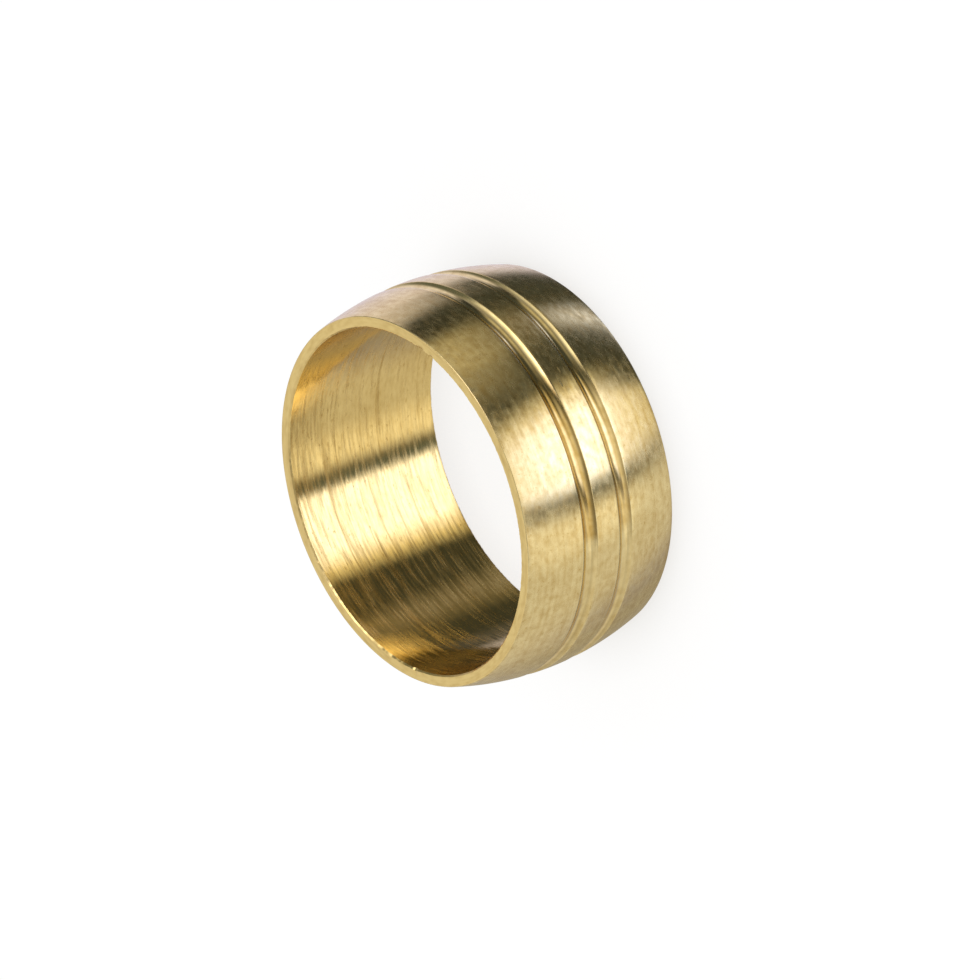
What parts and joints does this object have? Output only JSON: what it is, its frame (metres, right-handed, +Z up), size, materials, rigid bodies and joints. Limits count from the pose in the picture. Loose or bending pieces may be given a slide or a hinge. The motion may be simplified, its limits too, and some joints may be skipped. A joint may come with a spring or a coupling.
{
  "type": "compression olive",
  "caption": "Turned brass ring with a straight bore and a barrel-shaped, grooved outside, squeezed between a nut and a fitting to seal on a tube.",
  "frame": {"origin": "centre of the lower end face, on the bore's axis", "axes": "+Z up the bore's axis; X and Y are any two directions across it, since the ring is round"},
  "size_m": [0.0172, 0.0172, 0.0078],
  "materials": {
    "turned_brass": "bright turned brass with fine tool marks round the ring"
  },
  "bodies": {
    "root": {"olive": "turned_brass"}
  },
  "joints": []
}
